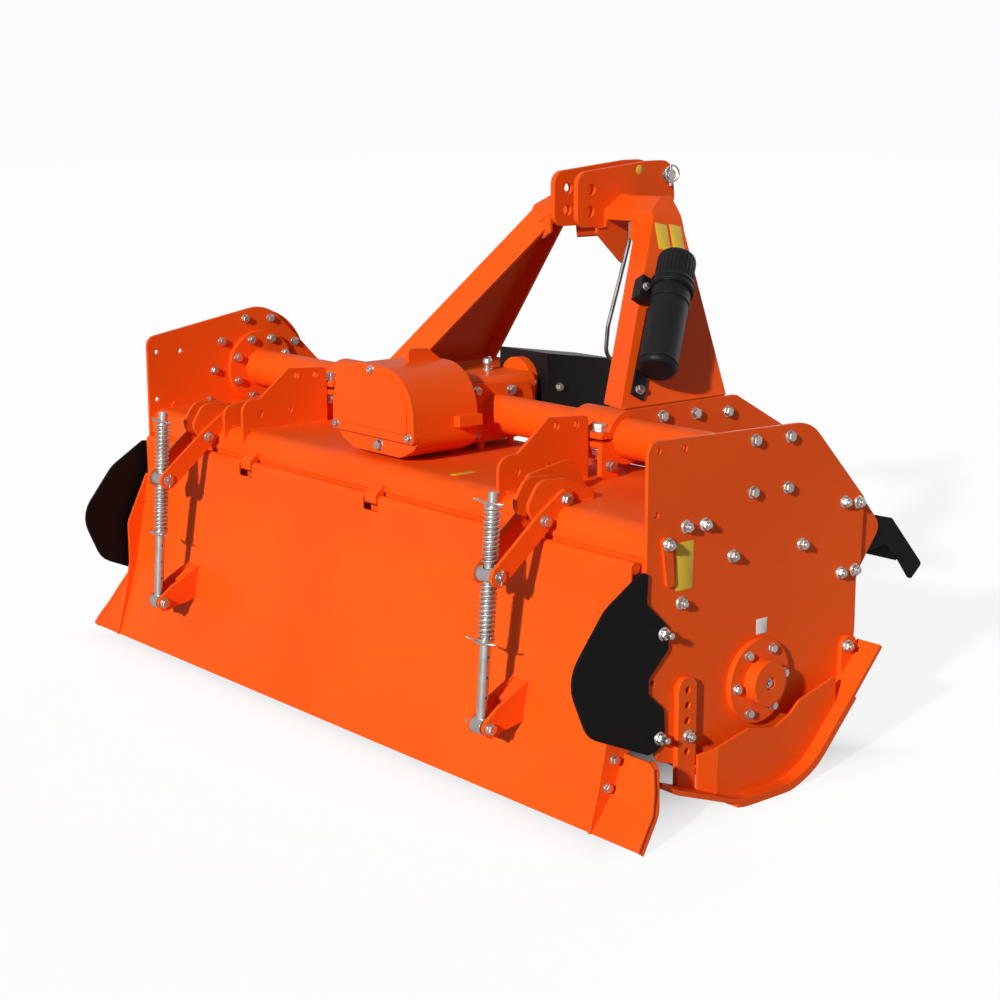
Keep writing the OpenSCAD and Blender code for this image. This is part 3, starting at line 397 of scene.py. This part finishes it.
# left plate, inner face: the beam's flange and the case's bolts
leftPlate = {"beam": (-37, 660), "flangeX": -880, "circle": 79.5, "flangeBolts": 8, "flangeSize": 18.0,
             "faceX": -892, "size": 17.0, "upper": [(-77, 790), (1, 786), (-151, 736), (-176, 662), (76, 718)],
             "lower": [(-274, 572), (-221, 566), (-193, 584)]}
bm = bmesh.new()
for k in range(leftPlate["flangeBolts"]):
    a = radians(45 * k + 22.5)
    y = leftPlate["beam"][0] + leftPlate["circle"] * cos(a)
    z = leftPlate["beam"][1] + leftPlate["circle"] * sin(a)
    boltHead(bm, mm(leftPlate["flangeX"], y, z), (1, 0, 0), leftPlate["flangeSize"], k)
for y, z in leftPlate["upper"]:
    boltHead(bm, mm(leftPlate["faceX"], y, z), (1, 0, 0), leftPlate["size"], z)
for y, z in leftPlate["lower"]:
    boltHead(bm, mm(leftPlate["faceX"], y, z), (1, 0, 0), leftPlate["size"], y)
finishPiece("leftPlateBolts", bm, zincPlate, "frame")

# hitch: bolts through the lower brackets and the beam clamps
hitch = {"bracket": [(123, 681), (227, 676), (331, 669)], "headX": 446, "nutX": 378, "size": 20.0, "stud": 7.0,
         "clamp": (482, -97), "clampZ": (678, 642), "clampSize": 27.0, "clampStud": 9.0,
         "leg": (506, -89, 606), "legSize": 19.0}
bm = bmesh.new()
for side in (1, -1):
    for y, z in hitch["bracket"]:
        boltHead(bm, mm(side * hitch["headX"], y, z), (side, 0, 0), hitch["size"], y)
        flangeNut(bm, mm(side * hitch["nutX"], y, z), (-side, 0, 0), hitch["size"], hitch["stud"])
    x, y = hitch["clamp"]
    boltHead(bm, mm(side * x, y, hitch["clampZ"][0]), (0, 0, 1), hitch["clampSize"], 0.5)
    flangeNut(bm, mm(side * x, y, hitch["clampZ"][1]), (0, 0, -1), hitch["clampSize"], hitch["clampStud"])
    x, y, z = hitch["leg"]
    boltHead(bm, mm(side * x, y, z), (side, 0, 0), hitch["legSize"], 0.8)
finishPiece("hitchBolts", bm, zincPlate, "frame")

# linch pins: a cross pin and a wire ring at the end of each hitch pin
linch = {"top": (57, 533, 1176), "topR": 4.6, "topWire": 2.6, "low": (494, 515, 566), "lowR": 4.2,
         "lowWire": 2.4, "washerX": 48, "washer": [(19.0, 0), (19.0, 3.0)], "sweep": range(-10, 330, 14)}
sweep = [radians(a) for a in linch["sweep"]]
pinEnd = mm(*linch["top"])
bm = bmesh.new()
ringStack(bm, place(mm(linch["washerX"], *linch["top"][1:]), (1, 0, 0)), linch["washer"], 26)
tubeAlong(bm, [pinEnd + mm(0, 0, 22), pinEnd + mm(0, 0, -26)], linch["topR"], 12)
ring = [pinEnd + mm(6 + 6 * sin(a), 17 * sin(a), 3 + 19.5 * cos(a)) for a in sweep]
tubeAlong(bm, ring, linch["topWire"], 8)
for side in (1, -1):
    x, y, z = linch["low"]
    pinEnd = mm(side * x, y, z)
    tubeAlong(bm, [pinEnd + mm(0, -18, 12), pinEnd + mm(0, 22, -14)], linch["lowR"], 12)
    ring = [pinEnd + mm(side * (5 + 5 * sin(a)), 4 + 16 * sin(a), 19 * cos(a)) for a in sweep]
    tubeAlong(bm, ring, linch["lowWire"], 8)
finishPiece("linchPins", bm, zincPlate, "frame")
print("hitch bolts placed")

# gearbox, change-gear housing and shield
gearBolts = {"coverY": -330, "cover": [(0, 777), (-133, 641), (133, 641)], "coverSize": 15.0,
             "plug": (13, -318, 610), "plugSize": 20.0,
             "padX": 82, "pad": [(-104, 616), (-99, 714), (3, 709), (5, 614)], "padSize": 18.0,
             "shield": (83, 150, 700), "shieldSize": 15.0,
             "boss": (88, 715), "bossCircle": 62, "bossTurns": (0, 3, 4, 5), "bossSize": 13.0,
             "vent": (-20, 20, 740),
             "ventProfile": [(12, -1), (12, 3), (8, 5), (8, 14), (11, 16), (11, 24), (8, 28)]}
bm = bmesh.new()
for x, z in gearBolts["cover"]:
    capScrew(bm, mm(x, gearBolts["coverY"], z), (0, -1, 0), gearBolts["coverSize"])
boltHead(bm, mm(*gearBolts["plug"]), (0, -1, 0), gearBolts["plugSize"], 0.4)
for side in (1, -1):
    for y, z in gearBolts["pad"]:
        boltHead(bm, mm(side * gearBolts["padX"], y, z), (side, 0, 0), gearBolts["padSize"], y)
    x, y, z = gearBolts["shield"]
    boltHead(bm, mm(side * x, y, z), (side, 0, 0), gearBolts["shieldSize"], 0.4)
for k in gearBolts["bossTurns"]:
    a = radians(60 * k)
    x, z = gearBolts["bossCircle"] * cos(a), gearBolts["boss"][1] + gearBolts["bossCircle"] * sin(a)
    boltHead(bm, mm(x, gearBolts["boss"][0], z), (0, 1, 0), gearBolts["bossSize"], k)
ringStack(bm, place(mm(*gearBolts["vent"]), (0, 0, 1)), gearBolts["ventProfile"], 20)
finishPiece("gearboxBolts", bm, zincPlate, "frame")

# canister: moulded rings and grip ribs, with the bolts of its bracket
canister = {"armTop": (209.0, 0.0, 1090.0), "lean": -29.2, "top": (287.0, -130.0, 60.5), "turn": -36.0,
            "rings": [(48.5, 76.0), (48.5, 90.0), (44.0, 128.0), (43.2, 296.0)],
            "bolts": [((-48.5, -30.5, 97.0), 15.0), ((0.0, -54.5, 341.9), 17.0)],  # place and size
            "ribs": 28, "ribCircle": 42.0, "ribRun": (7, 9, 64, 68), "ribR": [0.8, 1.9, 1.9, 1.2]}
sideOn = Matrix(((0, 0, 1, 0), (1, 0, 0, 0), (0, 1, 0, 0), (0, 0, 0, 1)))  # its Z along the part's X
onArm = Matrix.Translation(mm(*canister["armTop"])) @ Matrix.Rotation(radians(canister["lean"]), 4, "Y")
onArm = onArm @ sideOn
onCan = onArm @ Matrix.Translation(mm(*canister["top"])) @ Matrix.Rotation(radians(canister["turn"]), 4, "Z")
onCan = onCan @ Matrix.Rotation(pi / 2, 4, "X")
bm = bmesh.new()
for radius, height in canister["rings"]:
    ringStack(bm, onCan, [(radius - 2, height - 1), (radius + 1.4, height), (radius + 2.0, height + 2),
                          (radius + 1.4, height + 5), (radius - 2, height + 6)], 56)
for k in range(canister["ribs"]):
    a = 2 * pi * k / canister["ribs"]
    u, v = canister["ribCircle"] * cos(a), canister["ribCircle"] * sin(a)
    tubeAlong(bm, [onCan @ mm(u, v, height) for height in canister["ribRun"]], canister["ribR"], 6)
finishPiece("canisterRings", bm, blackPlastic, "frame")
bm = bmesh.new()
offArm = onCan.to_3x3() @ Vector((0, 1, 0))
for spot, size in canister["bolts"]:
    boltHead(bm, onCan @ mm(*spot), offArm, size)
finishPiece("canisterBolts", bm, zincPlate, "frame")

# spring linkage: arm bolts on the frame, pins and clips on their own bodies
linkage = {"rodX": 610.0, "eye": (-529.0, 161.5), "pivot": (-508.0, 462.0),
           "armBolts": [(-338, 591), (-393, 555)], "size": 19.0, "stud": 6.0, "forkOut": 32.0,
           "lugOut": 26.0, "hinge": (-379.0, 505.0), "lift": 15.0,
           "clipLow": 172.0, "clipHigh": 430.0, "collar": 3.0, "gap": 0.4, "trunnionR": 17.0,
           "pinUp": 9.0, "washerUp": 3.0, "pinDown": 7.0, "washerDown": 2.4, "pinOut": 6.5,
           "coilR": 14.8, "wire": 4.8, "turns": 11, "clipWire": 1.9, "pinWire": 1.5}
eye, pivot, hingeAt = (Vector(linkage[name]) for name in ("eye", "pivot", "hinge"))


def boltThrough(bm, side, half, spot, spins):  # head on the right of a rod, nut on its left
    middle = side * linkage["rodX"]
    boltHead(bm, mm(middle + half, *spot), (1, 0, 0), linkage["size"], spins[0])
    flangeNut(bm, mm(middle - half, *spot), (-1, 0, 0), linkage["size"], linkage["stud"], spins[1])


bm = bmesh.new()
for side in (1, -1):
    for spot in linkage["armBolts"]:
        boltThrough(bm, side, linkage["forkOut"], spot, spot)
finishPiece("armBolts", bm, zincPlate, "frame")

rodRun = pivot - eye
pivotAt = rodRun.length
rodLean = atan2(rodRun.x, rodRun.y)


def onRod(side, along):  # a point on a spring rod's axis, in metres
    return mm(side * linkage["rodX"], eye.x + along * sin(rodLean), eye.y + along * cos(rodLean))


def coilPoints(side, low, high, turns, steps=28):  # a spring round the rod
    axis = (onRod(side, 1.0) - onRod(side, 0.0)).normalized()
    right, back = Vector((1, 0, 0)), axis.cross(Vector((1, 0, 0)))
    count, wire = turns * steps, linkage["wire"]
    points = []
    for i in range(count + 1):
        share = i / count
        turn = 2 * pi * turns * share
        along = low + wire / 2 + (high - low - wire) * share
        points.append(onRod(side, along) + (right * cos(turn) + back * sin(turn)) * linkage["coilR"] / 1000)
    return points


# how far the rod slides through its trunnion as the tailboard lifts
lift, lever = radians(-linkage["lift"]), eye - hingeAt
lifted = hingeAt + Vector((lever.x * cos(lift) - lever.y * sin(lift),
                           lever.x * sin(lift) + lever.y * cos(lift)))
slide = rodRun.length - (pivot - lifted).length
lowSpring = (linkage["clipLow"] + linkage["collar"] + linkage["gap"],
             pivotAt - linkage["trunnionR"] - linkage["gap"])
highSpring = (pivotAt + linkage["trunnionR"] + linkage["gap"], linkage["clipHigh"] - linkage["gap"])
clipPath = [(-34, 0, 0), (0, 0, 0), (26, 0, 0), (33, -1, 2.5), (36, -5, 5), (32, -10, 6), (22, -14, 5),
            (8, -16.4, 3), (-4, -16.4, 3), (-16, -13, 4), (-28, -13.4, 6), (-38, -17, 8)]
rodWasher = [(10.8, 0), (17.0, 0), (17.0, 2.2), (10.8, 2.2)]
pinPath = [(0, -3, -15), (0, 0, -4), (0, 0, 9), (0, 2.6, 13), (0, 0, 16), (0, -2.6, 13), (0, -1, 9)]
pinWasher = [(13.5, 0), (13.5, 2.6), (12.6, 3.0)]
for side, hand in ((1, "right"), (-1, "left")):
    bm = bmesh.new()
    tubeAlong(bm, coilPoints(side, *highSpring, linkage["turns"]), linkage["wire"] / 2, 10)
    spring = finishPiece("upperCoil_" + hand, bm, zincPlate, "trunnion_" + hand, 60.0)
    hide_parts("upper_spring_" + hand)
    bm = bmesh.new()
    tubeAlong(bm, coilPoints(side, *lowSpring, linkage["turns"]), linkage["wire"] / 2, 10)
    spring = finishPiece("lowerCoil_" + hand, bm, zincPlate, "rod_" + hand, 60.0)
    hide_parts("lower_spring_" + hand)
    axis = (onRod(side, 1.0) - onRod(side, 0.0)).normalized()
    length = lowSpring[1] - lowSpring[0]
    tuple(onRod(side, lowSpring[0]))
    (length - slide) / length
    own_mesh(spring)

    bm = bmesh.new()  # clips and washers on the rod
    for clip, washer in ((linkage["clipHigh"] + linkage["pinUp"], linkage["clipHigh"] + linkage["washerUp"]),
                         (linkage["clipLow"] - linkage["pinDown"], linkage["clipLow"] - linkage["washerDown"])):
        spot = onRod(side, clip)
        tubeAlong(bm, [spot + mm(side * x, y, z) for x, y, z in clipPath], linkage["clipWire"], 8)
        ringStack(bm, place(onRod(side, washer), axis), rodWasher, 24)
    finishPiece("rodClips_" + hand, bm, zincPlate, "rod_" + hand)

    bm = bmesh.new()  # washers and split pins on the trunnion's ends
    for outward in (1, -1):
        base = mm(side * linkage["rodX"] + outward * (linkage["forkOut"] + linkage["gap"]), pivot.x, pivot.y)
        ringStack(bm, place(base, (outward, 0, 0)), pinWasher, 24)
        pin = base + mm(outward * linkage["pinOut"], 0, 0)
        tubeAlong(bm, [pin + mm(*step) for step in pinPath], linkage["pinWire"], 8)
    finishPiece("trunnionClips_" + hand, bm, zincPlate, "trunnion_" + hand)
print("springs, slide", round(slide, 1), "mm of", round(lowSpring[1] - lowSpring[0], 1))

# tailboard: rod eyes and end gussets
tailBolts = {"gussetX": 886, "gusset": [(-435, 145), (-452, 93)], "gussetSize": 16.0}
bm = bmesh.new()
for side in (1, -1):
    boltThrough(bm, side, linkage["lugOut"], eye, (0.3, 0.3))
    for y, z in tailBolts["gusset"]:
        boltHead(bm, mm(side * tailBolts["gussetX"], y, z), (side, 0, 0), tailBolts["gussetSize"], z)
finishPiece("tailboardBolts", bm, zincPlate, "tailboard")

# blade bolts on the rotor flanges
bladeSet = {"axle": (-60, 229), "flanges": 8, "endX": 856.0, "thick": 10.0, "bladeT": 8.0, "stagger": 22.0,
            "blades": 6, "circle": (88.0, 106.0), "turn": 24.0, "size": 19.0, "stud": 5.0}
bm = bmesh.new()
for i in range(bladeSet["flanges"]):
    x = -bladeSet["endX"] + i * 2 * bladeSet["endX"] / (bladeSet["flanges"] - 1)
    for k in range(bladeSet["blades"]):
        hand = 1 if k % 2 == 0 else -1
        if (i == 0 and hand < 0) or (i == bladeSet["flanges"] - 1 and hand > 0):
            continue  # no blades on the outer faces of the end flanges
        for circle, extra in zip(bladeSet["circle"], (0.0, -3.0)):
            a = radians(i * bladeSet["stagger"] + k * 60 + bladeSet["turn"] + extra)
            y, z = bladeSet["axle"][0] + circle * cos(a), bladeSet["axle"][1] + circle * sin(a)
            headX = x + hand * (bladeSet["thick"] / 2 + bladeSet["bladeT"])
            boltHead(bm, mm(headX, y, z), (hand, 0, 0), bladeSet["size"], a)
            flangeNut(bm, mm(x - hand * bladeSet["thick"] / 2, y, z), (-hand, 0, 0), bladeSet["size"],
                      bladeSet["stud"], a)
finishPiece("bladeBolts", bm, bareSteel, "rotor")
print("rotor bolts placed")

# weld beads
welds = {"deckZ": 580, "rear": -345, "brackets": [(465, -122), (473, -122), (545, -198), (553, -198)],
         "armX": (-24, -16, 16, 24), "armFront": -256, "capX": 47, "cap": [(381, 1133), (412, 1133)],
         "footX": 425, "foot": [(24, 704.5), (345, 704.5)],
         "lugX": (-26, -18, 18, 26), "lug": [(-423, 245), (-440, 168)]}
bm = bmesh.new()
for side in (1, -1):
    for x, front in welds["brackets"]:
        weldBead(bm, (side * x, welds["rear"], welds["deckZ"]), (side * x, front, welds["deckZ"]))
    for half in welds["armX"]:
        x = side * linkage["rodX"] + half
        weldBead(bm, (x, welds["rear"], welds["deckZ"]), (x, welds["armFront"], welds["deckZ"]))
    for x, run in ((welds["capX"], welds["cap"]), (welds["footX"], welds["foot"])):
        weldBead(bm, (side * x, *run[0]), (side * x, *run[1]))
finishPiece("frameWelds", bm, orangePaint, "frame")
bm = bmesh.new()
for side in (1, -1):
    for half in welds["lugX"]:
        x = side * linkage["rodX"] + half
        weldBead(bm, (x, *welds["lug"][0]), (x, *welds["lug"][1]))
finishPiece("tailboardWelds", bm, orangePaint, "tailboard")
print("welds placed")

# gussets where the hitch arms meet their caps, and the tab under the right top-link plate
gusset = {"y": (319.0, 327.0), "weld": [(151, 318.5, 1077), (190, 318.5, 1055)],
          "edge": [(138, 1038), (138, 1077), (151, 1077), (190, 1055), (217, 1055), (238, 1020), (168, 1020)],
          "tabX": (48.0, 54.0), "tabWeld": [(55, 296, 1059), (55, 323, 1059)],
          "tab": [(294, 1059), (294, 1046), (372, 976), (382, 970), (391, 976), (405, 1059)], "bead": 2.4}
bm = bmesh.new()
for side in (1, -1):
    skinRings(bm, [[mm(side * x, y, z) for x, z in gusset["edge"]] for y in gusset["y"]])
    weldBead(bm, *((side * x, y, z) for x, y, z in gusset["weld"]), gusset["bead"])
skinRings(bm, [[mm(x, y, z) for y, z in gusset["tab"]] for x in gusset["tabX"]])
weldBead(bm, *gusset["tabWeld"], gusset["bead"])
finishPiece("capGussets", bm, orangePaint, "frame")

# edge trim: stiffening rails on the deck's front edge, rolled hems on the wings
trim = {"railX": (92.0, 884.0), "railY": 60.0, "railZ": 579.0,
        "rail": [(0, 0), (7.0, 0), (7.0, 26.0), (5.0, 28.0), (2, 28.0), (0, 26.0)], "hem": 4.6,
        "hemPath": [(1007, -489, 14), (1003, -470, 40), (998, -446, 69), (984, -428, 104), (964, -411, 142)]}
bm = bmesh.new()
for side in (1, -1):
    skinRings(bm, [[mm(side * x, trim["railY"] + y, trim["railZ"] + z) for y, z in trim["rail"]]
                   for x in trim["railX"]])
finishPiece("deckRails", bm, orangePaint, "frame")
bm = bmesh.new()
for side in (1, -1):
    tubeAlong(bm, [mm(side * x, y, z) for x, y, z in trim["hemPath"]], trim["hem"], 12)
finishPiece("wingHems", bm, orangePaint, "tailboard")

# blank films
films = {"plate": (900.0, -270.0, 496.0), "plateSize": (48.0, 94.0, 3.0),  # width, height and corner
         "link": (47.0, 438.0, 1190.0), "linkSize": (23.0, 23.0, 11.4),
         "deck": (266.0, -290.0, 580.0), "deckSize": (18.0, 66.0, 6.0),
         "arm": [(332.0, -50.0), (376.0, -56.0)], "armSize": (36.0, 68.0, 3.0), "armTurn": -14.0,
         "small": (900.0, -47.0, 337.0), "smallSize": (32.0, 32.0, 2.0)}
bm = bmesh.new()
for name in ("plate", "link"):
    blankPatch(bm, Matrix.Translation(mm(*films[name])) @ sideOn, *films[name + "Size"])
blankPatch(bm, Matrix.Translation(mm(*films["deck"])), *films["deckSize"])
for u, v in films["arm"]:
    onWeb = onArm @ Matrix.Translation(mm(u, v, 0)) @ Matrix.Rotation(radians(films["armTurn"]), 4, "Z")
    blankPatch(bm, onWeb, *films["armSize"])
finishPiece("yellowFilms", bm, yellowFilm, "frame")
bm = bmesh.new()
blankPatch(bm, Matrix.Translation(mm(*films["small"])) @ sideOn, *films["smallSize"])
finishPiece("paleFilm", bm, paleFilm, "frame")
print("trim and films placed")

# camera, floor and light
photoView = {"place": (3.31016, -2.78850, 1.36894), "down": 12.137, "turn": 49.479, "lens": 68.149, "sensor": 36.0}
camera = bpy.data.objects.new("photoCamera", bpy.data.cameras.new("photoCamera"))
scene.collection.objects.link(camera)
camera.location = photoView["place"]
camera.rotation_euler = (radians(90 - photoView["down"]), 0.0, radians(photoView["turn"]))
camera.data.lens, camera.data.sensor_width = photoView["lens"], photoView["sensor"]
scene.camera = camera

studio = {"lamps": {"keyLight": (3.55, 2.4, (-0.32, 0.86, -0.39)),  # strength, softness and way of the light
                    "frontLight": (0.9, 50.0, (0.3, -0.92, -0.25))},
          "fill": 0.15, "seen": 0.975, "mirror": 0.45}
for name, (energy, soft, travel) in studio["lamps"].items():
    lamp = bpy.data.objects.new(name, bpy.data.lights.new(name, "SUN"))
    scene.collection.objects.link(lamp)
    lamp.data.energy, lamp.data.angle = energy, radians(soft)
    lamp.rotation_euler = Vector(travel).to_track_quat("-Z", "Y").to_euler()


def seenRays(wire):  # camera and see-through rays, and a share of mirror rays
    seen = wire.math("MAXIMUM", wire.make("LightPath", {}, {}, "Is Camera Ray"),
                     wire.make("LightPath", {}, {}, "Is Transmission Ray"))
    return wire.math("MAXIMUM", seen, wire.make("LightPath", {}, {}, "Is Glossy Ray") * studio["mirror"])


world = bpy.data.worlds.new("studioWorld")
scene.world = world
world.use_nodes = True
sky = world.node_tree.nodes["Background"]
sky.inputs["Color"].default_value = rgb(1.0, 1.0, 1.0)
air = Wire(world.node_tree)
(studio["fill"] + seenRays(air) * (studio["seen"] - studio["fill"])).feed(sky, "Strength")

ground = {"half": 30, "pale": rgb(0.42, 0.42, 0.42), "dim": rgb(0.4, 0.4, 0.4), "grain": 14.0, "glow": 1.42,
          "glowShare": 0.62, "under": (0.92, 0.4, -0.1), "fadeX": (-0.4, 0.1), "fadeY": (-0.36, 0.1)}
floorMesh = bpy.data.meshes.new("floor")
corners = [(x * ground["half"], y * ground["half"], 0) for x, y in ((-1, -1), (1, -1), (1, 1), (-1, 1))]
floorMesh.from_pydata(corners, [], [(0, 1, 2, 3)])
floor = bpy.data.objects.new("floor", floorMesh)
scene.collection.objects.link(floor)
floorFinish, floorShader, wire = startFinish("floorFinish", {"Roughness": 0.9, "Specular IOR Level": 0.0})
floorSpot = wire.make("TexCoord", {}, {}, "Object")
noise(wire, floorSpot, ground["grain"], 4.0).tint(ground["pale"], ground["dim"]).feed(floorShader, "Base Color")
halfWide, halfDeep, middle = ground["under"]  # painted shade: the floor under the machine gets no glow, so it shows darker than the floor round it
pastX = wire.math("ABSOLUTE", wire.make("SeparateXYZ", {}, {0: floorSpot}, "X")) - halfWide
pastY = wire.math("ABSOLUTE", wire.make("SeparateXYZ", {}, {0: floorSpot}, "Y") - middle) - halfDeep
outside = wire.math("MAXIMUM", pastX.within(*ground["fadeX"]), pastY.within(*ground["fadeY"]))
glow = wire.make("Emission", {}, {"Color": rgb(1.0, 1.0, 1.0), "Strength": ground["glow"]})
output = floorFinish.node_tree.nodes["Material Output"]
lit = Wire(wire.tree, floorShader.outputs[0])
glowing = seenRays(wire) * outside * ground["glowShare"]
wire.make("MixShader", {}, {0: glowing, 1: lit, 2: glow}).feed(output, "Surface")
floorMesh.materials.append(floorFinish)
print("camera, floor and light set")
